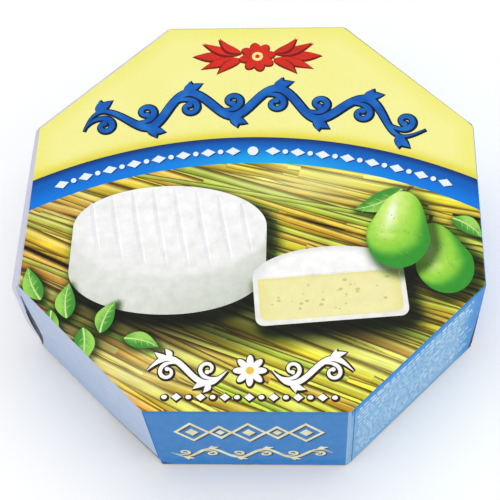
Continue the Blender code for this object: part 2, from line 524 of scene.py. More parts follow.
class Nodes:
    # short hand for building a material's nodes
    def __init__(self, name):
        self.material = bpy.data.materials.new(name)
        self.material.use_nodes = True
        self.tree = self.material.node_tree
        self.shader = self.tree.nodes["Principled BSDF"]
        self.place = self.add("ShaderNodeTexCoord").outputs["Object"]

    def add(self, kind, **values):
        node = self.tree.nodes.new(kind)
        for key, value in values.items():
            setattr(node, key, value)
        return node

    def link(self, source, target):
        self.tree.links.new(source, target)

    def noise(self, size, detail=2.0, seed=0.0, source=None):
        # from 0 to 1, with features of size millimetres; source gives other places than the object's
        # own, in millimetres
        mapping = self.add("ShaderNodeMapping")
        unit = 1.0 if source else mm
        sizes = size if isinstance(size, tuple) else (size, size, size)
        mapping.inputs["Scale"].default_value = [1 / (value * unit) for value in sizes]
        mapping.inputs["Location"].default_value = (seed, seed, seed)
        self.link(source or self.place, mapping.inputs["Vector"])
        node = self.add("ShaderNodeTexNoise")
        node.inputs["Scale"].default_value = 1.0
        node.inputs["Detail"].default_value = detail
        self.link(mapping.outputs["Vector"], node.inputs["Vector"])
        return node.outputs["Fac"]

    def maths(self, operation, first, second):
        node = self.add("ShaderNodeMath", operation=operation)
        for socket, value in zip(node.inputs, (first, second)):
            if isinstance(value, (int, float)):
                socket.default_value = value
            else:
                self.link(value, socket)
        return node.outputs[0]

    def around(self, source, strength, where=None):
        # noise about 0, from -strength to strength, only where the mesh asks for it
        part = self.maths("SUBTRACT", source, 0.5)
        if where:
            part = self.maths("MULTIPLY", part, where)
        return self.maths("MULTIPLY", part, strength * 2)

    def spread(self, source, low, high):
        # noise, which is mostly from 0.3 to 0.7, stretched from low to high
        node = self.add("ShaderNodeMapRange")
        for key, value in (("From Min", 0.3), ("From Max", 0.7), ("To Min", low), ("To Max", high)):
            node.inputs[key].default_value = value
        self.link(source, node.inputs["Value"])
        return node.outputs["Result"]

    def blend(self, first, second, share):
        # from one colour to another
        node = self.add("ShaderNodeMix", data_type="RGBA")
        node.inputs[6].default_value = (*first, 1)
        node.inputs[7].default_value = (*second, 1)
        self.link(share, node.inputs[0])
        return node.outputs[2]

    def attribute(self, name, output="Fac"):
        return self.add("ShaderNodeAttribute", attribute_name=name).outputs[output]

    def bump(self, height, strength, depth, after=None):
        node = self.add("ShaderNodeBump")
        node.inputs["Strength"].default_value = strength
        node.inputs["Distance"].default_value = depth * mm
        self.link(height, node.inputs["Height"])
        if after:
            self.link(after, node.inputs["Normal"])
        return node.outputs["Normal"]


def printedBoard(name):
    n = Nodes(name)
    finish = boardFinish
    stalks = n.noise(finish["streakSize"], 3.0, source=n.attribute("flow", "Vector"))
    streak = n.around(stalks, finish["streaks"], n.attribute("grain"))
    mottle = n.around(n.noise(finish["mottleSize"], 5.0), finish["mottling"], n.attribute("bloom"))
    uneven = n.around(n.noise(finish["unevenSize"], 4.0), finish["inkUnevenness"])
    shade = n.maths("ADD", n.maths("ADD", streak, mottle), n.maths("ADD", uneven, finish["inkStrength"]))
    scaled = n.add("ShaderNodeVectorMath", operation="SCALE")
    n.link(n.attribute("ink", "Color"), scaled.inputs[0])
    n.link(shade, scaled.inputs["Scale"])
    n.link(scaled.outputs["Vector"], n.shader.inputs["Base Color"])
    gloss = n.spread(n.noise(finish["glossSize"], 4.0, seed=3.0), *finish["roughness"])
    n.link(gloss, n.shader.inputs["Roughness"])
    fibres, warp = finish["fibres"], finish["warp"]
    normal = n.bump(n.noise(fibres["size"], 4.0, seed=5.0), fibres["strength"], fibres["depth"])
    normal = n.bump(n.noise(warp["size"], 1.0, seed=8.0), warp["strength"], warp["depth"], normal)
    n.link(normal, n.shader.inputs["Normal"])
    n.shader.inputs["Specular IOR Level"].default_value = finish["gloss"]
    return n.material


printed = printedBoard("printed_board")


# straw behind the picture: long stalks, light along the back and dark along both edges
straw = {
    "count": 330,
    "middles": ((-62, 62), (-60, 30)),  # ranges of x and y
    "pivot": (-190.0, 58.0),  # the stalks fan out from this spot
    "scatter": 2.5,  # degrees
    "length": (46.0, 120.0),
    "width": (1.1, 3.7),
    "thinner": (0.55, 1.0),  # times the width
    "bow": 1.2,
    "brightness": (0.84, 1.08),
    "samples": 61,  # along a stalk
    "every": 5,  # of these samples one is kept
    "fewest": 8,  # samples that have to show
    "reach": 47,  # from the middle, past the print's edge
    "underBand": 2.5,
    "mottle": 0.16,
    "mottleSize": 1.6,
    "highlight": (0.28, 0.30, 0.55),  # its place and width across a stalk, in half widths, and its strength
    "edges": (0.42, 0.62, 0.86),  # where they begin and how far they reach across, and their strength
    "ridge": (0.28, 0.5),  # place and width of the narrow stroke along a stalk's back
    "colours": [(240, 206, 56), (232, 194, 46), (214, 168, 38), (246, 224, 104), (200, 152, 40),
                (194, 202, 60), (172, 178, 54), (240, 180, 60), (236, 216, 80), (222, 152, 48)],
    "light": (255, 248, 168),
    "dark": (64, 38, 8),
    "gap": (24, 18, 8),
}


def stalkPaint(middle, side, half, bow, reach, colour):
    along = np.array([side[1], -side[0]])

    def flow(x, y):
        spot = np.stack([x, y], 1) - middle
        far = spot @ along
        return np.stack([far, spot @ side - bow * (1 - (far / reach) ** 2)], 1)

    def paint(x, y):
        across = flow(x, y)[:, 1] / half
        tone = colour * (1 + straw["mottle"] * cloud(x * 0.3, y, straw["mottleSize"], float(half)))[:, None]
        place, width, strength = straw["highlight"]
        tone = mix(tone, straw["light"], strength * peak(across - place, width))
        start, length, strength = straw["edges"]
        return mix(tone, straw["dark"], strength * ramp(np.abs(across + 0.06), start, length))
    return paint, flow


def strawShapes():
    shapes = []
    for number in range(straw["count"]):
        middle = np.array([random.uniform(*span) for span in straw["middles"]])
        way = math.atan2(middle[1] - straw["pivot"][1], middle[0] - straw["pivot"][0])
        way += math.radians(random.normal(0, straw["scatter"]))
        reach = random.uniform(*straw["length"]) / 2
        half = random.uniform(*straw["width"]) * random.uniform(*straw["thinner"]) / 2
        bow = random.uniform(-straw["bow"], straw["bow"])
        colour = np.array(straw["colours"][random.integers(len(straw["colours"]))], float)
        colour = colour * random.uniform(*straw["brightness"])
        along = np.array([math.cos(way), math.sin(way)])
        side = np.array([-along[1], along[0]])
        share = np.linspace(-1, 1, straw["samples"])
        line = middle + along * (share * reach)[:, None] + side * (bow * (1 - share ** 2))[:, None]
        # what lies under the band or past the edge is left out
        shows = np.hypot(line[:, 0], line[:, 1] - band["centre"]) < band["inner"] + straw["underBand"]
        shows &= (np.abs(line) < straw["reach"]).all(1)
        count = int(shows.sum())
        if count < straw["fewest"]:
            continue
        line = line[shows][[*range(0, count - 1, straw["every"]), count - 1]]
        paint, flow = stalkPaint(middle, side, half, bow, reach, colour)
        place, width = straw["ridge"]
        shapes.append(shape(brush(line, [2 * half] * 2), paint, 1.0, 0.0, flow))
        shapes.append(shape(brush(line + side * half * place, [half * width] * 2), paint, 1.0, 0.0, flow))
    return shapes


# the arched band between the yellow field and the picture
band = {
    "centre": -82.6,  # y of both arcs' centre
    "outer": 97.8,
    "inner": 91.6,
    "reach": 47.0,  # to both sides
    "overlap": 0.5,  # how far the field and the picture reach under it
    "edge": (10, 44, 104),
    "blue": (0, 96, 190),
    "bright": (0, 122, 226),
    "cyan": (28, 178, 240),
    "glow": (4, 17, 0.9),  # x of its middle, width and strength
    "beadSpacing": 2.45,
    "beadReach": 38.5,
    "middleBead": 1.05,
    "diamond": (1.45, 0.92),
    "roundBead": 0.55,
    "bead": (232, 244, 253),
    "beadShade": (6, 58, 138),
    "shadeOffset": (0.22, -0.22),
}


def bandArc(radius, reach=band["reach"]):
    x = np.linspace(-reach, reach, 120)
    return np.stack([x, band["centre"] + np.sqrt(radius * radius - x * x)], 1)


def bandPaint(x, y):
    share = (np.hypot(x, y - band["centre"]) - band["inner"]) / (band["outer"] - band["inner"])
    middle, width, strength = band["glow"]
    colour = mix(band["bright"], band["blue"], ramp(share, 0.1, 0.6))
    colour = mix(colour, band["cyan"], strength * peak(x - middle, width) * (1 - ease(share / 0.8)))
    return mix(colour, band["edge"], 0.85 * ramp(share, 0.72, 0.28))


def bandShapes():
    middle = (band["outer"] + band["inner"]) / 2 - 0.2
    loops = [disc(0, band["centre"] + middle, band["middleBead"], 20)]
    for hand in (-1, 1):
        for step in range(1, int(band["beadReach"] / band["beadSpacing"]) + 1):
            turn = hand * (step + 0.6) * band["beadSpacing"] / middle
            cx = middle * math.sin(turn)
            cy = band["centre"] + middle * math.cos(turn)
            if step % 2:
                loops.append(ellipse(cx, cy, *band["diamond"], 4, -turn))
            else:
                loops.append(disc(cx, cy, band["roundBead"], 12))
    region = np.vstack([bandArc(band["outer"]), bandArc(band["inner"])[::-1]])
    return [shape(region, bandPaint, covers=True),
            *each(loops, flat(band["beadShade"]), band["shadeOffset"]), *each(loops, flat(band["bead"]))]


# the yellow field above the band
field = {
    "pale": (247, 243, 160),
    "deep": (242, 238, 128),
    "line": (230, 216, 66),
    "lineWidth": 1.5,
    "cloudSize": 9.0,
}


def fieldPaint(x, y):
    out = np.hypot(x, y - band["centre"]) - band["outer"]
    inwards = ramp(foldDepth(x, y)[1], 0.5, 5.0)
    colour = mix(field["deep"], field["pale"], inwards * 0.75 + 0.35 * cloud(x, y, field["cloudSize"]))
    return mix(colour, field["line"], 0.95 * peak(out, field["lineWidth"]))


# a running scroll: a wavy stem with a curl in each wave and two leaves on each crest. A unit is half a
# wave's length divided by "units".
scrollForm = {
    "stemEnd": 0.1,  # width in millimetres
    "units": 8.75,
    "curlStart": 160,  # degrees
    "curlTurn": 430,
    "curlRadius": (0.75, 1.15, 1.9),  # at its end, and what widens it evenly and steeply towards its start
    "curlWidths": (0.2, 1.0, 0.95, 0.85, 0.75, 0.6),
    "leaves": ((3.0, 0.8, 0.35), (0.7, 1.25, -0.35)),  # forwards, outwards and bend
}


def scroll(place, size, reach, halfWaves, swell=0.0):
    # place gives the line that it runs along, and swell widens all of it
    form = scrollForm
    half = 2 * reach / halfWaves
    unit = half / form["units"]
    sway, stem, stemEnd = size["sway"], size["stem"] + swell, form["stemEnd"] + swell
    along = np.linspace(-reach, reach, halfWaves * 12 + 1)
    loops = [brush(place(along, sway * np.sin(math.pi * along / half)), [stemEnd, *[stem] * 5, stemEnd])]
    share = np.linspace(0, 1, 40)
    turn = math.radians(form["curlStart"]) - share * math.radians(form["curlTurn"])
    end, even, steep = form["curlRadius"]
    radius = unit * (end + even * (1 - share) + steep * (1 - share) ** 9)
    for step in range(halfWaves):
        at = -reach + (step + 0.5) * half
        hand = 1 if math.sin(math.pi * at / half) > 0 else -1
        curl = place(at + radius * np.cos(turn), hand * (radius * np.sin(turn) - 0.4 * unit))
        loops.append(brush(curl, np.array(form["curlWidths"]) * size["curl"] + swell))
        loops.append(disc(curl[-1][0], curl[-1][1], size["berry"] + swell / 2, 16))
        for ahead, rise, bend in form["leaves"]:
            root = place(at - 0.5 * unit, hand * (sway - 0.2 * unit))
            tip = place(at + ahead * unit + swell / 3, hand * (sway + rise * size["leafReach"] + swell / 3))
            loops.append(leaf(root, tip, size["leafWidth"] + swell, hand * bend * unit))
    return loops


# a blue vine over the arch, in the upper field
vine = {
    "centre": -61.2,  # y of the arch's centre
    "radius": 85.2,
    "reach": 35.0,
    "halfWaves": 8,
    "size": {"sway": 3.4, "stem": 1.6, "curl": 1.15, "berry": 0.62, "leafReach": 2.3, "leafWidth": 1.7},
    "edgeWidth": 0.75,
    "edgeOffset": (0.14, -0.16),
    "blue": (2, 84, 176),
    "light": (26, 114, 200),
    "navy": (4, 20, 50),
}


def onArch(along, out):
    turn = along / vine["radius"]
    radius = vine["radius"] + out
    return np.stack([radius * np.sin(turn), vine["centre"] + radius * np.cos(turn)], -1)


def vinePaint(x, y):
    return mix(vine["blue"], vine["light"], 0.45 + 1.0 * cloud(x, y, 2.6, 4.0))


def vineShapes():
    under, over = [scroll(onArch, vine["size"], vine["reach"], vine["halfWaves"], swell)
                   for swell in (vine["edgeWidth"], 0.0)]
    return each(under, flat(vine["navy"]), vine["edgeOffset"]) + each(over, vinePaint)


# a red rosette between two sprays of leaves, at the head of the field
rosette = {
    "centre": (0.4, 35.6),
    "petals": 8,
    "petalTurn": 0.2,  # radians
    "petalReach": 1.96,
    "petalSize": (1.75, 1.0),
    "petalRim": 0.45,
    # of each leaf in a spray: where it starts and ends beside the centre, its rise and its width
    "spray": [(6.5, 13.2, 0.2, 2.1), (3.2, 11.4, 3.6, 1.9), (3.2, 11.4, -3.2, 1.9),
              (3.2, 8.0, 4.9, 1.6), (3.2, 8.0, -4.5, 1.6)],
    "leafRim": 0.7,
    "red": (212, 42, 26),
    "dark": (122, 22, 18),
    "heart": (250, 236, 150),
}


def rosetteShapes():
    cx, cy = rosette["centre"]
    red, dark = flat(rosette["red"], 0.10), flat(rosette["dark"])
    shapes = []
    for hand in (-1, 1):
        for start, end, rise, width in rosette["spray"]:
            root = np.array([cx + hand * start, cy + rise * 0.2])
            tip = np.array([cx + hand * end, cy + rise])
            bend = -hand * rise * 0.16
            under = leaf(root - (0.0, 0.25), tip + (hand * 0.3, -0.3), width + rosette["leafRim"], bend)
            shapes += [shape(under, dark), shape(leaf(root, tip, width, bend), red)]
    reach, (length, width) = rosette["petalReach"], rosette["petalSize"]
    for rim, paint in ((rosette["petalRim"], dark), (0.0, red)):
        for petal in range(rosette["petals"]):
            turn = petal * math.tau / rosette["petals"] + rosette["petalTurn"]
            px, py = cx + reach * math.cos(turn), cy + reach * math.sin(turn) - rim * 0.6
            shapes.append(shape(ellipse(px, py, length + rim * 0.5, width + rim * 0.6, 16, turn), paint))
    return shapes + [shape(disc(cx, cy, 1.15, 18), flat(rosette["heart"])),
                     shape(disc(cx, cy, 0.5, 12), flat(rosette["red"]))]


# a whole white cheese, left of the middle
cheese = {
    "centre": (-15.5, -5.5),  # of its top face
    "radius": 18.5,
    "flatness": 0.50,  # how much the view flattens the round
    "side": 9.5,
    "ridges": 8,
    "ridgeReach": 0.78,  # of the outer ones, in radii
    "ridgeLength": 0.93,
    "ridgeLean": 0.10,
    "ridgeWidths": (0.2, 1.1, 1.3, 1.1, 0.2),
    "ridgeLightWidths": (0.1, 0.5, 0.5, 0.5, 0.1),
    "white": (247, 247, 247),
    "shade": (188, 196, 178),
    "ridge": (236, 236, 239),
    "ridgeLight": (251, 251, 251),
    "shadowReach": (1.3, -1.5),  # how far to the right and to the front the soft shadow falls
    "shadow": (0.8, 1.4),  # its strength and how far it fades out
}


def cheesePaint(x, y):
    cx, cy = cheese["centre"]
    rx = cheese["radius"]
    ry = rx * cheese["flatness"]
    across = (x - cx) / rx
    rimY = cy - ry * np.sqrt(np.clip(1 - across ** 2, 0, 1))  # front edge of the top face
    below = (rimY - y) / cheese["side"]  # 0 at the rim, 1 at the foot
    rightwards = 0.30 + 0.70 * np.clip(across * 0.75 + 0.25, 0, 1)  # the side darkens to the right
    side = ramp(below, -0.06, 0.3) * (0.34 + 0.36 * np.clip(below, 0, 1)) * (0.5 + 0.7 * rightwards)
    top = 0.12 * np.clip(-(y - cy) / ry, 0, 1) + 0.10 * (across ** 2)
    share = np.where(below > 0, np.maximum(side, top), top)
    return mix(cheese["white"], cheese["shade"], share + 0.05 * cloud(x, y, 2.4, 9.0))


def cheeseShapes():
    centre = np.array(cheese["centre"])
    size = cheese["radius"] * np.array([1, cheese["flatness"]])
    foot = (0.0, cheese["side"])
    upper = np.linspace(0, math.pi, 50)
    lower = np.linspace(math.pi, math.tau, 50)
    body = np.vstack([centre + size * np.stack([np.cos(upper), np.sin(upper)], 1),
                      centre - foot + size * np.stack([np.cos(lower), np.sin(lower)], 1)])
    shapes = [softShade(body + cheese["shadowReach"], *cheese["shadow"]),
              shape(body, cheesePaint, 0.0, 1.0, covers=True)]
    # faint broad ridges across the top face
    for offset in np.linspace(-cheese["ridgeReach"], cheese["ridgeReach"], cheese["ridges"]):
        half = math.sqrt(1 - offset * offset) * cheese["ridgeLength"]
        lean = cheese["ridgeLean"] * half
        line = np.linspace((offset - lean, half), (offset + lean, -half), 9) * size + centre
        shapes.append(shape(brush(line, cheese["ridgeWidths"]), flat(cheese["ridge"], 0.02), 0.0, 1.0))
        shapes.append(shape(brush(line + (0.5, 0.0), cheese["ridgeLightWidths"]),
                            flat(cheese["ridgeLight"]), 0.0, 1.0))
    return shapes


# half a cheese in front of it, its cut face to the viewer
half = {
    "centre": (14.5, -15.5),  # middle of the cut's upper edge
    "radius": 14.0,
    "flatness": 0.40,
    "side": 10.0,
    "turn": 5.0,  # degrees
    "rind": 0.9,  # thickness
    "roundness": 1.6,  # radius of the cut's lower corners
    "white": (250, 250, 249),
    "shade": (222, 224, 222),
    "rindColour": (238, 238, 232),
    "paste": (241, 236, 172),
    "pasteEdge": (232, 222, 140),
    "hole": (214, 204, 130),
    "holes": 26,
    "holeSize": (0.12, 0.34),
}


def onHalf(points):
    # from places on the half, about the middle of its cut's upper edge, to places on the print
    x, y = np.asarray(points, float).T
    return placed(x, y, half["centre"], math.radians(half["turn"]))


def halfTopPaint(x, y):
    a, b = local(x, y, half["centre"], math.radians(half["turn"]))
    edge = np.hypot(a / half["radius"], b / (half["radius"] * half["flatness"]))
    return mix(half["white"], half["shade"], 0.7 * ramp(edge, 0.75, 0.25) + 0.06 * cloud(x, y, 2.0, 2.0))


def pastePaint(x, y):
    a, b = local(x, y, half["centre"], math.radians(half["turn"]))
    edge = np.maximum(np.abs(a) / half["radius"], np.abs(2 * b / half["side"] + 1))
    return mix(half["paste"], half["pasteEdge"], 0.8 * ramp(edge, 0.72, 0.28) + 0.15 * cloud(x, y, 2.5, 6.0))


def cutFace(inset):
    # with rounded lower corners
    w, h, q = half["radius"] - inset, half["side"] - inset, half["roundness"]
    corner = np.linspace(0, math.pi / 2, 7)
    right = np.stack([w - q + q * np.cos(corner), -h + q - q * np.sin(corner)], 1)
    left = np.stack([-w + q - q * np.sin(corner), -h + q - q * np.cos(corner)], 1)
    return onHalf(np.vstack([[(-w, -inset * 0.4), (w, -inset * 0.4)], right, left]))


def halfShapes():
    r, foot = half["radius"], half["side"]
    arc = np.linspace(0, math.pi, 40)
    top = onHalf(np.stack([r * np.cos(arc), r * half["flatness"] * np.sin(arc)], 1))
    shapes = [softShade(cutFace(0.0) + cheese["shadowReach"], *cheese["shadow"]),
              shape(top, halfTopPaint, 0.0, 1.0, covers=True),
              shape(cutFace(0.0), flat(half["rindColour"], 0.04), 0.0, 1.0, covers=True),
              shape(cutFace(half["rind"]), pastePaint, 0.0, 0.4, covers=True)]
    for number in range(half["holes"]):
        a = random.uniform(-r + 2, r - 2)
        b = random.uniform(-foot + 2, -1.6)
        size = random.uniform(*half["holeSize"])
        shapes.append(shape(onHalf(ellipse(a, b, size * 1.4, size, 9)), flat(half["hole"])))
    return shapes


# two green pears with leaves, at the right
pears = {
    # of each pear: its foot's middle, its radius and its lean in degrees; of each leaf: its base, its tip,
    # its width and how far it bends
    "places": [((36.0, -13.4), 5.4, 16), ((27.8, -7.4), 6.0, -10)],
    "leaves": [((29.0, 3.0), (19.5, -1.8), 4.4, 0.9), ((38.0, -3.6), (43.5, -8.0), 3.6, 0.6)],
    "shadowReach": (1.0, -1.1),
    "shadow": (0.60, 1.2),
    "speckles": 22,
    "speckleSize": 0.13,
    "light": (216, 244, 128),
    "green": (150, 214, 66),
    "deep": (52, 150, 46),
    "shine": (250, 255, 236),
    "speckle": (122, 186, 60),
    "stalk": (92, 70, 30),
}


def pearOutline(place, radius, lean):
    # foot and neck joined by a waist, from the foot's bottom round
    angle = np.linspace(0, math.tau, 64, endpoint=False)
    up, down = np.clip(np.cos(angle), 0, 1), np.clip(np.cos(angle), -1, 0)
    swell = radius * (1 + 0.52 * up ** 3.2 + 0.10 * down ** 2)
    return placed(-swell * np.sin(angle) * (1 - 0.20 * up), swell * np.cos(angle) * 1.08, place, lean)


def pearPaint(place, radius, lean):
    def paint(x, y):
        a, b = [way / radius for way in local(x, y, place, lean)]
        wide = np.where(b > 0, 1 - 0.30 * np.clip(b / 1.5, 0, 1), 1.0)
        nx = a / wide
        ny = np.where(b > 0, (b - 0.25) * 0.55, b * 0.95)
        facing = np.sqrt(np.clip(1 - nx * nx - ny * ny, 0, 1))
        lit = np.clip(-0.42 * nx + 0.50 * ny + 0.76 * facing, 0, 1)  # from the upper left
        colour = mix(pears["deep"], pears["green"], ease(lit * 1.7))
        colour = mix(colour, pears["light"], 0.85 * ease((lit - 0.55) * 2.2))
        colour = mix(colour, pears["shine"], 0.95 * peak(nx + 0.38, 0.17) * peak(ny - 0.28, 0.30))
        return colour * (1 + 0.05 * cloud(x, y, 1.0, 3.0)[:, None])
    return paint


# the leaves of the pears and of the sprig
leaves = {
    "green": (66, 150, 52),
    "light": (156, 216, 92),
    "midrib": (206, 232, 150),
    "vein": (176, 216, 124),
    "veins": (3, 5, 7, 9),  # the points of the midrib where a pair starts
    "shadowReach": (0.5, -0.55),
    "shadow": (0.66, 0.7),
}


def leafShapes(base, tip, width, bend):
    def paint(x, y):
        # the half towards the light is brighter
        lit = ((np.stack([x, y], 1) - base) @ side - bend * 0.6) * 0.5
        return mix(leaves["green"], leaves["light"], 0.42 + lit + 0.5 * cloud(x, y, 2.0, 1.0))

    shares = np.linspace(0.02, 0.96, 12)
    spine, run, side = spineOf(base, tip, bend, shares)
    outline = leaf(base, tip, width, bend, 18)
    shapes = [softShade(outline + leaves["shadowReach"], *leaves["shadow"]),
              shape(outline, paint, covers=True),
              shape(brush(spine, [0.34, 0.26, 0.08]), flat(leaves["midrib"]))]
    for place in leaves["veins"]:
        out = side * width * 0.30 * math.sin(math.pi * shares[place] ** 0.8)
        for hand in (-1, 1):
            line = np.linspace(spine[place], spine[place] + run * 0.11 + hand * out, 4)
            shapes.append(shape(brush(line, [0.16, 0.05]), flat(leaves["vein"])))
    return shapes


def pearShapes():
    shapes = []
    for sizes in pears["leaves"]:
        shapes += leafShapes(*sizes)
    for place, radius, degrees in pears["places"]:
        lean = math.radians(degrees)
        crown = np.array(place) + radius * 1.58 * np.array([-math.sin(lean), math.cos(lean)])
        stalk = radius * 0.42 * np.array([-math.sin(lean - 0.5), math.cos(lean - 0.5)])
        outline = pearOutline(place, radius, lean)
        shapes += [shape(brush(np.linspace(crown - stalk * 0.3, crown + stalk, 5), [0.6, 0.5, 0.9]),
                         flat(pears["stalk"], 0.2)),
                   softShade(outline + pears["shadowReach"], *pears["shadow"]),
                   shape(outline, pearPaint(place, radius, lean), 0.0, 0.25, covers=True)]
        for number in range(pears["speckles"]):
            a, b = random.uniform(-0.7, 0.7), random.uniform(-0.8, 0.9)
            if a * a + b * b < 0.62:
                spot = disc(place[0] + radius * a, place[1] + radius * b, pears["speckleSize"], 6)
                shapes.append(shape(spot, flat(pears["speckle"])))
    return shapes


# a green sprig at the lower left
sprig = {
    "stem": [(-41.0, -19.5), (-35.0, -24.0), (-28.5, -27.5), (-22.0, -29.0)],
    "stemColour": (84, 120, 44),
    "leaves": [((-38.6, -21.2), (-41.8, -14.2), 3.6), ((-36.4, -23.2), (-38.0, -30.6), 3.8),
               ((-33.4, -25.0), (-33.6, -17.6), 3.8), ((-30.2, -26.8), (-30.0, -34.4), 3.8),
               ((-27.0, -28.0), (-24.6, -21.4), 3.4), ((-22.6, -29.0), (-16.0, -30.8), 3.2)],
    "bend": 0.5,
}


def sprigShapes():
    shapes = [shape(brush(curve(sprig["stem"], 8), [0.9, 0.6, 0.4]), flat(sprig["stemColour"], 0.1))]
    for base, tip, width in sprig["leaves"]:
        shapes += leafShapes(base, tip, width, sprig["bend"])
    return shapes


# white scrolls and a flower near the front edge, over a row of beads, with a soft dark line round them
flourish = {
    "centre": (0.5, -35.4),
    "scrollReach": 7.2,
    "scrollMiddle": 11.2,  # from the flower to each scroll's middle
    "size": {"sway": 2.4, "stem": 1.05, "curl": 0.75, "berry": 0.42, "leafReach": 1.5, "leafWidth": 1.15},
    "petals": 8,
    "petalReach": 1.75,
    "petalSize": (1.3, 0.62),
    "heartSize": 0.75,
    "beads": 7,  # to each side of the middle one
    "beadSpacing": 2.15,
    "beadsBelow": 5.1,
    "beadSizes": ((0.72, 4), (0.42, 12)),  # height and number of corners, in turns from the middle
    "rim": 0.7,
    "rimOffset": (0.12, -0.14),
    "white": (253, 253, 251),
    "shadow": (44, 34, 14),
    "heart": (236, 200, 70),
}


def flourishLoops(swell):
    cx, cy = flourish["centre"]
    loops = []
    for hand in (-1, 1):
        def place(along, out):
            return np.stack([cx + hand * (flourish["scrollMiddle"] + along), cy + out], -1)
        loops += scroll(place, flourish["size"], flourish["scrollReach"], 2, swell)
    reach, (length, width) = flourish["petalReach"], flourish["petalSize"]
    for petal in range(flourish["petals"]):
        turn = petal * math.tau / flourish["petals"]
        loops.append(ellipse(cx + reach * math.cos(turn), cy + reach * math.sin(turn),
                             length + swell / 2, width + swell / 2, 16, turn))
    for step in range(-flourish["beads"], flourish["beads"] + 1):
        size, corners = flourish["beadSizes"][step % 2]
        loops.append(ellipse(cx + step * flourish["beadSpacing"], cy - flourish["beadsBelow"],
                             size * 1.25 + swell / 2, size + swell / 2, corners))
    return loops


def flourishShapes():
    shapes = each(flourishLoops(flourish["rim"]), flat(flourish["shadow"]), flourish["rimOffset"])
    shapes += each(flourishLoops(0.0), flat(flourish["white"]))
    return shapes + [shape(disc(*flourish["centre"], flourish["heartSize"], 14), flat(flourish["heart"]))]


# light on the picture: soft shadows and haze over the straw, by centre, reach along x and y, and strength
pictureLight = {
    "shadows": [((-14.0, -24.5), (24.0, 6.5), 0.62), ((15.0, -26.0), (18.0, 4.5), 0.62),
                ((31.0, -15.5), (12.0, 5.5), 0.60), ((-30.0, -26.0), (12.0, 6.0), 0.30)],
    "haze": [((-38.0, -2.5), (8.0, 4.0), 0.20), ((26.0, -34.0), (12.0, 4.0), 0.28),
             ((12.0, 4.5), (16.0, 4.5), 0.55), ((-20.0, -36.0), (12.0, 5.0), 0.40)],
    "hazeColour": (246, 242, 190),
    "lemonTint": (-0.01, 0.10, -0.08),  # added to the straw's colours towards the right
    "lemonFrom": -30,
    "lemonOver": 30,
}


def strongest(spots, x, y, power):
    # the strongest of several soft spots at each point
    most = np.zeros(len(x))
    for (cx, cy), (rx, ry), strength in spots:
        most = np.maximum(most, strength * np.exp(-(((x - cx) / rx) ** power + ((y - cy) / ry) ** power)))
    return most


def topLight(strawCount):
    def finish(x, y, colours, owners):
        onStraw = ((owners > 0) & (owners <= strawCount)).astype(float)
        lemon = onStraw * ramp(x, pictureLight["lemonFrom"], pictureLight["lemonOver"])
        colours = colours * (1 - strongest(pictureLight["shadows"], x, y, 4) * onStraw)[:, None]
        colours = colours * (1 + lemon[:, None] * np.array(pictureLight["lemonTint"]))
        return mix(colours, pictureLight["hazeColour"], strongest(pictureLight["haze"], x, y, 2) * onStraw)
    return finish


# print worn or cut short along the folds, by wall: colour, and width at the wall's start and end
wornFolds = {
    0: ((92, 128, 170), 0.12, 0.12),
    3: ((176, 172, 118), 0.16, 0.30),
    4: ((190, 188, 128), 0.24, 0.30),
    5: ((206, 203, 222), 0.40, 0.42),
    6: ((206, 203, 226), 0.34, 0.30),
}


def foldShapes():
    corners = octagonCorners(0, 0)
    rim = carton["foldRadius"] * (1 - math.sin(math.pi / 4))
    shapes = []
    for wall, (colour, first, last) in wornFolds.items():
        start, end = corners[wall], corners[(wall + 1) % 8]
        out = outward(start, end)
        loop = [start + out, start - out * (rim + first), end - out * (rim + last), end + out]
        shapes.append(shape(np.array(loop), flat(colour, 0.08)))
    return shapes


# the lid's printed top, down to half way round the fold
topSheet = {
    "spacing": 0.62,  # between the points that carry the colour
    "borderStep": 1.0,
    "reach": 48,  # half of the square that the print is laid out on
}


def skinBorder():
    # places along the unrolled skin that the top and the walls share
    places = []
    seam = carton["seamHalfWidth"]
    for wall in range(8):
        low, high = wallStarts[wall], wallStarts[wall + 1]
        count = int((high - low) / topSheet["borderStep"])
        places += [low, *np.linspace(low + seam, high - seam, count)]
    return np.array(places)


def closeLoop(solid, faces, loop, z, facesUp=False):
    # triangles that meet on the octagon's axis
    solid.append((0.0, 0.0, z))
    for a, b in zip(loop, loop[1:] + loop[:1]):
        faces.append([a, b, len(solid) - 1] if facesUp else [b, a, len(solid) - 1])


def makeTop():
    border = np.array([skinPoint(along, 0.0) for along in skinBorder()])
    reach = topSheet["reach"]
    whole = np.array([(-reach, -reach), (reach, -reach), (reach, reach), (-reach, reach)])
    picture = np.vstack([bandArc(band["inner"] + band["overlap"], reach), whole[[1, 0]]])
    upper = np.vstack([bandArc(band["outer"] - band["overlap"], reach), whole[[2, 3]]])
    stalks = strawShapes()
    shapes = [shape(whole, fieldPaint), shape(picture, flat(straw["gap"], 0.2), 1.0), *stalks,
              *cheeseShapes(), *halfShapes(), *pearShapes(), *sprigShapes(), *flourishShapes(),
              shape(upper, fieldPaint, covers=True), *bandShapes(), *vineShapes(), *rosetteShapes(),
              *foldShapes()]
    points, triangles, painted = paintedSheet(border[:, :2], shapes, topSheet["spacing"],
                                              finish=topLight(len(stalks) + 1))
    drop = foldDepth(points[:, 0], points[:, 1])[0]
    heights = carton["height"] - drop + crownHeight(points[:, 0], points[:, 1])
    rim = borderLoop(triangles)
    heights[rim] = border[0, 2]
    solid = [(x, y, z) for (x, y), z in zip(points, heights)]
    faces = triangles.tolist()
    closeLoop(solid, faces, rim, border[0, 2])
    piece = meshPiece("lid_top", solid, faces, painted, printed)
    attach(piece, "root")
    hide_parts("lid")


makeTop()


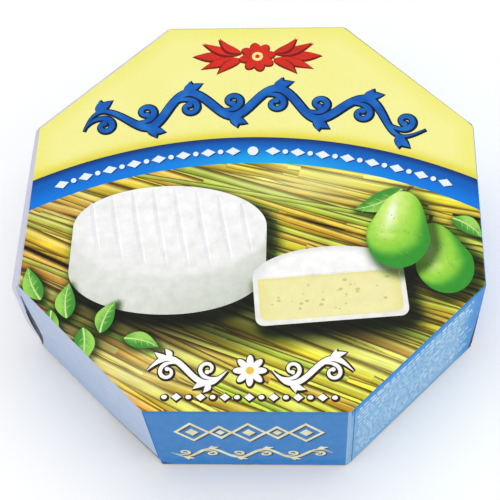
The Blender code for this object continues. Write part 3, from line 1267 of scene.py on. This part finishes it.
# print on the walls: places are millimetres from a wall's left end, seen from outside, and down from the fold
wallPrint = {
    "beyond": 60.0,  # a place below the sheet's lower edge, where outlines end that run out of it
    "above": -1.0,  # and one above its upper edge
    "blue": (68, 136, 204),
    "stripe": (26, 132, 210),
    "stripeHeight": 3.4,
    "pale": (196, 208, 232),
    "paleDeep": (168, 194, 228),
    "lavender": (212, 214, 230),
    "light": (132, 188, 230),
    "bright": (38, 138, 218),
    "worn": (158, 194, 228),
    "crease": (36, 92, 166),
    # painted shade at the front wall's lower left corner, beside the slanting cut
    "cornerShade": (58, 66, 150),
    "tab": (222, 234, 246),
    "tabShade": (112, 132, 152),
    "litFlapEnd": (226, 226, 242),  # of the lifted flap: painted light, paler where it turns to the light
    # the flap's raw edge, grey, with painted shade along the cut
    "shadedCutEdge": (120, 126, 148),
}


def onWall(wall, points):
    points = np.asarray(points, float)
    return np.stack([wallStarts[wall] + points[:, 0], -points[:, 1]], 1)


def wallPatch(wall, points, paint):
    return shape(onWall(wall, points), paint)


def wallField(wall, paint):
    low, high = carton["seamHalfWidth"], wallLengths[wall] - carton["seamHalfWidth"]
    top, foot = wallPrint["above"], wallPrint["beyond"]
    return wallPatch(wall, [(low, top), (high, top), (high, foot), (low, foot)], paint)


def bluePaint(x, y):
    # deeper at the foot, where y is -skinDepth
    fade = ramp(-y, skinDepth - wallPrint["stripeHeight"] - 0.8, 1.6)
    colour = mix(wallPrint["blue"], wallPrint["stripe"], fade)
    return mix(colour, wallPrint["stripe"], 0.25 + 0.25 * cloud(x, y, 5.0, 12.0))


def palePaint(x, y):
    share = 0.15 + 0.6 * -y / skinDepth + 0.22 * cloud(x, y, 4.0, 15.0)
    return mix(wallPrint["pale"], wallPrint["paleDeep"], share)


def lavenderPaint(x, y):
    return mix(wallPrint["lavender"], wallPrint["pale"], 0.8 * ramp(-y, 6, 16) + 0.2 * cloud(x, y, 4.0, 25.0))


def lightPaint(wall):
    def paint(x, y):
        share = (x - wallStarts[wall]) / wallLengths[wall]
        bright = np.maximum(ramp(share, 0.80, 0.2), 0.9 * (1 - ramp(-y, 0.8, 2.6)))
        colour = mix(wallPrint["light"], wallPrint["blue"], 0.25 * cloud(x, y, 2.0, 18.0) + 0.2)
        return mix(colour, wallPrint["bright"], bright)
    return paint


# a chain of diamonds above a running scroll, on the front and back walls
ornament = {
    "chainDown": 8.6,
    "diamonds": 2,  # to each side of the middle one
    "diamondSpacing": 5.2,
    "diamondSizes": (4.4, 3.1),  # half heights, in turns from the middle
    "diamondWidth": 0.78,  # for a height of 1
    "diamondRing": 1.05,
    "diamondHeart": 0.36,
    "scrollDown": 18.8,
    "scrollReach": 15.4,
    "halfWaves": 6,
    "scroll": {"sway": 2.1, "stem": 0.85, "curl": 0.62, "berry": 0.34, "leafReach": 1.3, "leafWidth": 0.95},
    "ink": (246, 246, 214),
    "inkWarm": (232, 214, 150),
    "shade": (44, 62, 96),
    "shadeOffset": (0.3, -0.34),
}


def inkPaint(x, y):
    return mix(ornament["ink"], ornament["inkWarm"], 0.35 + 1.1 * cloud(x, y, 1.7, 21.0))


def ornamentShapes(wall):
    middle = wallLengths[wall] / 2

    def diamond(cx, half):
        wide, high = half * ornament["diamondWidth"], ornament["chainDown"]
        return onWall(wall, [(cx - wide, high), (cx, high + half), (cx + wide, high), (cx, high - half)])

    def place(along, out):
        down = np.full(np.shape(along), -ornament["scrollDown"]) + out
        return np.stack([wallStarts[wall] + middle + along, down], -1)

    groups = []
    for step in range(-ornament["diamonds"], ornament["diamonds"] + 1):
        cx = middle + step * ornament["diamondSpacing"]
        size = ornament["diamondSizes"][step % 2]
        groups.append([diamond(cx, size), diamond(cx, size - ornament["diamondRing"])])
        groups.append([diamond(cx, size * ornament["diamondHeart"])])
    groups += scroll(place, ornament["scroll"], ornament["scrollReach"], ornament["halfWaves"])
    return each(groups, flat(ornament["shade"]), ornament["shadeOffset"]) + each(groups, inkPaint)


# rows of short pale strokes, on the front right and back right walls
dashes = {
    "rows": 15,
    "margin": 3.6,  # above the first row and below the last, together
    "firstDown": 1.7,
    "starts": (1.9, 2.7),  # from the wall's left end
    "stops": (1.6, 6.5),  # before its right end
    "length": (0.4, 1.7),
    "gap": (0.25, 0.6),
    "height": (0.40, 0.62),  # times the distance between two rows
    "lift": (0, 0.25),
    "pale": (206, 230, 245),
    "dim": (152, 200, 234),
}


def dashShapes(wall):
    shapes = []
    pitch = (skinDepth - dashes["margin"]) / dashes["rows"]
    for row in range(dashes["rows"]):
        across = random.uniform(*dashes["starts"])
        last = wallLengths[wall] - random.uniform(*dashes["stops"])
        while across < last:
            end = min(across + random.uniform(*dashes["length"]), last)
            height = random.uniform(*dashes["height"]) * pitch
            top = dashes["firstDown"] + row * pitch + random.uniform(*dashes["lift"]) * pitch
            foot = top + height
            tint = mix(dashes["pale"], dashes["dim"], random.uniform(0, 1))
            stroke = [(across, foot), (end, foot), (end, top), (across, top)]
            shapes.append(wallPatch(wall, stroke, flat(tint)))
            across = end + random.uniform(*dashes["gap"])
    return shapes


# small diamonds on the right wall, a little lighter than the field
lattice = {
    "rows": 5,
    "columns": 9,
    "first": (3.4, 4.0),
    "spacing": (3.6, 3.7),
    "half": (1.1, 1.5),
    "endMargin": 2.5,
}


def latticeShapes(wall):
    shapes = []
    wide, high = lattice["half"]
    for row in range(lattice["rows"]):
        for step in range(lattice["columns"]):
            cx = lattice["first"][0] + (step + row % 2 / 2) * lattice["spacing"][0]
            cy = lattice["first"][1] + row * lattice["spacing"][1]
            if cx < wallLengths[wall] - lattice["endMargin"]:
                diamond = [(cx - wide, cy), (cx, cy - high), (cx + wide, cy), (cx, cy + high)]
                shapes.append(wallPatch(wall, diamond, flat(wallPrint["light"], 0.05)))
    return shapes


def slantSkin(share, above=0.0):
    # a place on the slanting cut, above the raw edge
    seam = carton["seamHalfWidth"]
    across = seam + share * (wallLengths[slantFlap["wall"]] - 2 * seam)
    return across, skinDepth - max(0.0, slantHeight(share) + above)


def tabPaint(x, y):
    # the tab is in the flap's shade near the cut, and pale at the table
    share = (x - wallStarts[slantFlap["wall"]]) / wallLengths[slantFlap["wall"]]
    cut = skinDepth - slantFlap["rise"] * np.clip((share - slantFlap["from"]) / (1 - slantFlap["from"]), 0, 1)
    pale = ramp(-y - cut, 1.6, 0.8) + 0.1 * cloud(x, y, 2.0, 30.0)
    return mix(wallPrint["tabShade"], wallPrint["tab"], pale)


# the open seams at both ends of the left and right front walls: a dark gap, whose shadow reaches onto the
# wall that faces the viewer
openSeam = {
    "from": 4.5,  # down from the fold
    "line": (116, 128, 172),
    "shadow": (8, 14, 34),
    "tip": 0.1,  # width of the gap's upper end, for 1 further down
    "tipLength": 5.0,
    "left": 2.9,  # width of the left seam's shadow
    "leftBelly": [(0.05, 0.0), (0.42, 3.0), (0.76, 7.0), (0.64, 11.5), (0.32, 16.0)],  # its width and height
    "right": 1.0,
}


def gapPaint(x, y):
    # a soft line at the top of the open seam, black further down
    return mix(openSeam["line"], openSeam["shadow"], ramp(-y, openSeam["from"] + 1.5, 6.0))


def seamStrips(corner, half, fromDown=wallPrint["above"], tip=1.0):
    # The strip along a corner, narrowed at its upper end to tip times its width. A corner at the sheet's
    # two ends is painted at both.
    top, full, foot = -fromDown, -fromDown - openSeam["tipLength"], -wallPrint["beyond"]
    return [np.array([(at - half * tip, top), (at - half, full), (at - half, foot),
                      (at + half, foot), (at + half, full), (at + half * tip, top)])
            for at in ([0.0, wallStarts[-1]] if corner == 0 else [wallStarts[corner]])]


def slantShapes():
    # the tab under the slanting cut, and the flap's raw edge, grey and a little worn, with painted shade
    # along it
    wall, start, foot = slantFlap["wall"], slantFlap["from"], wallPrint["beyond"]
    tab = [slantSkin(start, -0.1), slantSkin(1.0, -0.1), (slantSkin(1.0)[0], foot),
           (slantSkin(start)[0], foot)]
    cut = [slantSkin(start, -0.2), slantSkin(start + 0.06, 0.7), slantSkin(1.0, 0.8), slantSkin(1.0, -0.22),
           slantSkin(start + 0.03, -0.22)]
    return [wallPatch(wall, tab, tabPaint), wallPatch(wall, cut, flat(wallPrint["shadedCutEdge"]))]


def wallShapes():
    front, frontRight, right, backRight, back, backLeft, left, frontLeft = range(8)
    seam, top, foot = carton["seamHalfWidth"], wallPrint["above"], wallPrint["beyond"]
    shapes = []
    for wall in (front, back):
        shapes += [wallField(wall, bluePaint), *ornamentShapes(wall)]
    for wall in (frontRight, backRight):
        shapes += [wallField(wall, lightPaint(wall)), *dashShapes(wall)]
    shapes += [wallField(right, bluePaint), *latticeShapes(right)]
    for wall, paint in ((backLeft, palePaint), (left, lavenderPaint), (frontLeft, palePaint)):
        shapes.append(wallField(wall, paint))
    shapes += slantShapes()
    # the front wall's foot colour wraps a little round its left corner, and the other corners are worn
    for corner, colour, half in ((front, "stripe", seam), (frontRight, "worn", seam + 0.12),
                                 (right, "bright", seam), (backRight, "light", seam), (back, "worn", seam),
                                 (backLeft, "worn", seam), (left, "pale", seam), (frontLeft, "pale", seam)):
        shapes += each(seamStrips(corner, half), flat(wallPrint[colour], 0.08))
    crease = [(1.05, top), (1.32, top), (1.26, foot), (1.02, foot)]
    shapes.append(wallPatch(frontRight, crease, flat(wallPrint["crease"], 0.1)))
    for corner in carton["gapingSeams"]:
        strips = seamStrips(corner, seam, carton["gapeStart"] - 1.0, openSeam["tip"])
        shapes += each(strips, flat(openSeam["shadow"]))
    start, leftWidth, rightWidth = openSeam["from"], openSeam["left"], openSeam["right"]
    belly = curve([(leftWidth * width, skinDepth - up)
                   for width, up in (*openSeam["leftBelly"], (0.03, skinDepth - start))], 6)
    leftSeam = [(-0.3 * seam, start), (-0.5 * seam, skinDepth - 9.0), (-0.5 * seam, foot),
                (leftWidth * 0.05, foot), *belly]
    length = wallLengths[frontRight]
    rightSeam = [(length, start + 2.0), (length, foot), (length - rightWidth, foot),
                 (length - rightWidth, skinDepth), (length - rightWidth * 0.4, start + 6.0)]
    # the lifted flap's end, made paler as a painted highlight
    litFlapEnd = [(-seam, top), (-seam, foot), (-0.5 * seam, foot), (-0.5 * seam, top)]
    # painted shade in the front wall's lower left corner
    cornerShade = [(0.3, skinDepth - 1.5), (2.6, skinDepth), (2.6, foot), (0.3, foot)]
    return shapes + [wallPatch(frontLeft, litFlapEnd, flat(wallPrint["litFlapEnd"], 0.04)),
                     wallPatch(frontLeft, leftSeam, gapPaint), wallPatch(frontRight, rightSeam, gapPaint),
                     wallPatch(front, cornerShade, flat(wallPrint["cornerShade"]))]


wallSheet = {
    "spacing": 0.75,  # between the points that carry the colour
    "foldSteps": 3,
    "rows": 30,  # places down the sheet's two ends, which meet at a corner
    "near": 1e-3,  # points closer than this are at the same place
}


def innerPoint(along, drop, z):
    # the inside of the board, which is straight between the corners
    wall = min(int(np.searchsorted(wallStarts, along, side="right")) - 1, 7)
    corners = octagonCorners(carton["board"], drop)
    share = (along - wallStarts[wall]) / wallLengths[wall]
    spot = corners[wall] * (1 - share) + corners[(wall + 1) % 8] * share
    return float(spot[0]), float(spot[1]), z


def makeWalls():
    perimeter = float(wallStarts[-1])
    seam, near = carton["seamHalfWidth"], wallSheet["near"]
    alongs = np.append(skinBorder(), perimeter)
    folds = np.linspace(0, foldArc, wallSheet["foldSteps"] + 1)[1:]
    downs = np.concatenate([[0.0], folds, np.linspace(foldArc, skinDepth, wallSheet["rows"])[1:]])
    outline = [(along, -skinDepth) for along in alongs]
    outline += [(perimeter, -down) for down in downs[::-1][1:-1]]
    outline += [(along, 0.0) for along in alongs[::-1]]
    outline += [(0.0, -down) for down in downs[1:-1]]
    lines = [np.array([(0.0, -down), (perimeter, -down)]) for down in folds]
    for corner in wallStarts:
        lines += [np.array([(at, 0.0), (at, -skinDepth)]) for at in (corner - seam, corner, corner + seam)
                  if 0 < at < perimeter]
    for above in (0.0, -0.06):
        shares = np.linspace(slantFlap["from"], 1, 24)
        lines.append(onWall(slantFlap["wall"], [slantSkin(share, above) for share in shares]))
    points, triangles, painted = paintedSheet(np.array(outline), wallShapes(), wallSheet["spacing"], lines)
    # the sheet's right end is joined to its left end
    firsts = {round(y, 3): index for index, (x, y) in enumerate(points) if x < near}
    twins = {index: firsts[round(y, 3)] for index, (x, y) in enumerate(points) if x > perimeter - near}
    faces = [[twins.get(corner, corner) for corner in face] for face in triangles.tolist()]
    solid = [skinPoint(x, -y) for x, y in points]

    def row(down):
        spots = [index for index in range(len(points)) if abs(points[index][1] + down) < near]
        return sorted((index for index in spots if index not in twins), key=lambda index: points[index][0])

    # the raw edge, the board's inside and the ceiling
    edge = row(skinDepth)
    loops = [edge]
    for drop, z in ((carton["height"] - carton["lidLift"], carton["lidLift"]),
                    (carton["board"], carton["height"] - carton["board"])):
        loops.append([*range(len(solid), len(solid) + len(edge))])
        solid += [innerPoint(points[index][0], drop, z) for index in edge]
    for outer, further in zip(loops, loops[1:]):
        for i in range(len(edge)):
            j = (i + 1) % len(edge)
            faces.append([outer[j], outer[i], further[i], further[j]])
    closeLoop(solid, faces, loops[-1], carton["height"] - carton["board"])
    rim = row(0.0)
    closeLoop(solid, faces, rim, solid[rim[0]][2], facesUp=True)
    piece = meshPiece("lid_walls", solid, faces, painted, printed)
    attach(piece, "root")
    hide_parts("lid")


makeWalls()


# grey board inside, with fibres and flecks; sizes are in millimetres
greyBoard = {
    "colour": (0.62, 0.60, 0.56),
    "fleck": (0.42, 0.40, 0.37),
    "fleckSize": 0.5,
    "fleckShare": (0.0, 0.7),
    "roughness": (0.75, 0.9),
    "roughSize": 1.1,
    "fibres": {"size": (0.8, 0.2, 0.2), "strength": 0.3, "depth": 0.06},
}


def plainBoard(name):
    n = Nodes(name)
    flecks = n.spread(n.noise(greyBoard["fleckSize"], 6.0), *greyBoard["fleckShare"])
    n.link(n.blend(greyBoard["colour"], greyBoard["fleck"], flecks), n.shader.inputs["Base Color"])
    rough = n.spread(n.noise(greyBoard["roughSize"], 3.0, seed=2.0), *greyBoard["roughness"])
    n.link(rough, n.shader.inputs["Roughness"])
    fibres = greyBoard["fibres"]
    normal = n.bump(n.noise(fibres["size"], 5.0), fibres["strength"], fibres["depth"])
    n.link(normal, n.shader.inputs["Normal"])
    return n.material


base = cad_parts["base"]
base.data.materials.clear()
base.data.materials.append(plainBoard("plain_board"))
print("base board coloured")


# table, light and camera, in metres
studio = {
    "floor": (1.0, 1.0, 1.0),
    "floorDim": (0.985, 0.985, 0.985),
    "floorHalf": 3.0,
    "floorRoughness": 0.9,
    "floorGloss": 0.1,
    "world": 0.66,
    "target": 0.015,  # height that the lights face
    "lights": [  # name, place, size and power in watts; each faces the carton
        ("overhead", (0.05, 0.10, 0.75), 0.9, 2.7),
        ("frontLeft", (-0.55, -0.60, 0.45), 0.7, 0.6),
        ("right", (0.70, -0.15, 0.40), 0.7, 0.8),
    ],
}
cameraView = {
    "azimuth": 5.725,
    "elevation": 59.646,
    "roll": -5.071,
    "distance": 0.26553,
    "lens": 90.63,  # millimetres, for a sensor of 36
    "sensor": 36,
    "clipStart": 0.01,
    "lookAt": (-0.001532, 0.004127, 0.0008),  # from the octagon's middle
}


def makeFloor():
    data = bpy.data.meshes.new("floor")
    half = studio["floorHalf"]
    corners = [(-half, -half, 0), (half, -half, 0), (half, half, 0), (-half, half, 0)]
    data.from_pydata(corners, [], [(0, 1, 2, 3)])
    n = Nodes("floor")
    n.link(n.blend(studio["floor"], studio["floorDim"], n.noise(60.0)), n.shader.inputs["Base Color"])
    n.shader.inputs["Roughness"].default_value = studio["floorRoughness"]
    n.shader.inputs["Specular IOR Level"].default_value = studio["floorGloss"]
    data.materials.append(n.material)
    floor = bpy.data.objects.new("floor", data)
    bpy.context.scene.collection.objects.link(floor)


def makeStudio():
    scene = bpy.context.scene
    target = Vector((centreX, centreY, studio["target"]))
    for name, place, size, power in studio["lights"]:
        light = bpy.data.lights.new(name, "AREA")
        light.size = size
        light.energy = power
        lamp = bpy.data.objects.new(name, light)
        lamp.location = place
        lamp.rotation_euler = (target - Vector(place)).to_track_quat("-Z", "Y").to_euler()
        scene.collection.objects.link(lamp)
    world = bpy.data.worlds.new("studio")
    world.use_nodes = True
    background = world.node_tree.nodes["Background"]
    background.inputs["Color"].default_value = (1, 1, 1, 1)
    background.inputs["Strength"].default_value = studio["world"]
    scene.world = world
    scene.view_settings.view_transform = "Standard"


def makeCamera():
    azimuth, elevation, roll = (math.radians(cameraView[key]) for key in ("azimuth", "elevation", "roll"))
    back = Vector((math.sin(azimuth) * math.cos(elevation), -math.cos(azimuth) * math.cos(elevation),
                   math.sin(elevation)))
    right = (-back).cross(Vector((0, 0, 1))).normalized()
    up = right.cross(-back)
    rolledRight = right * math.cos(roll) + up * math.sin(roll)
    rolledUp = up * math.cos(roll) - right * math.sin(roll)
    look = Vector(cameraView["lookAt"]) + Vector((centreX, centreY, 0))
    place = look + back * cameraView["distance"]
    data = bpy.data.cameras.new("camera")
    data.lens = cameraView["lens"]
    data.sensor_width = cameraView["sensor"]
    data.clip_start = cameraView["clipStart"]
    camera = bpy.data.objects.new("camera", data)
    camera.matrix_world = Matrix((*zip(rolledRight, rolledUp, back, place), (0, 0, 0, 1)))
    bpy.context.scene.collection.objects.link(camera)
    bpy.context.scene.camera = camera


makeFloor()
makeStudio()
makeCamera()
print("studio and camera placed")
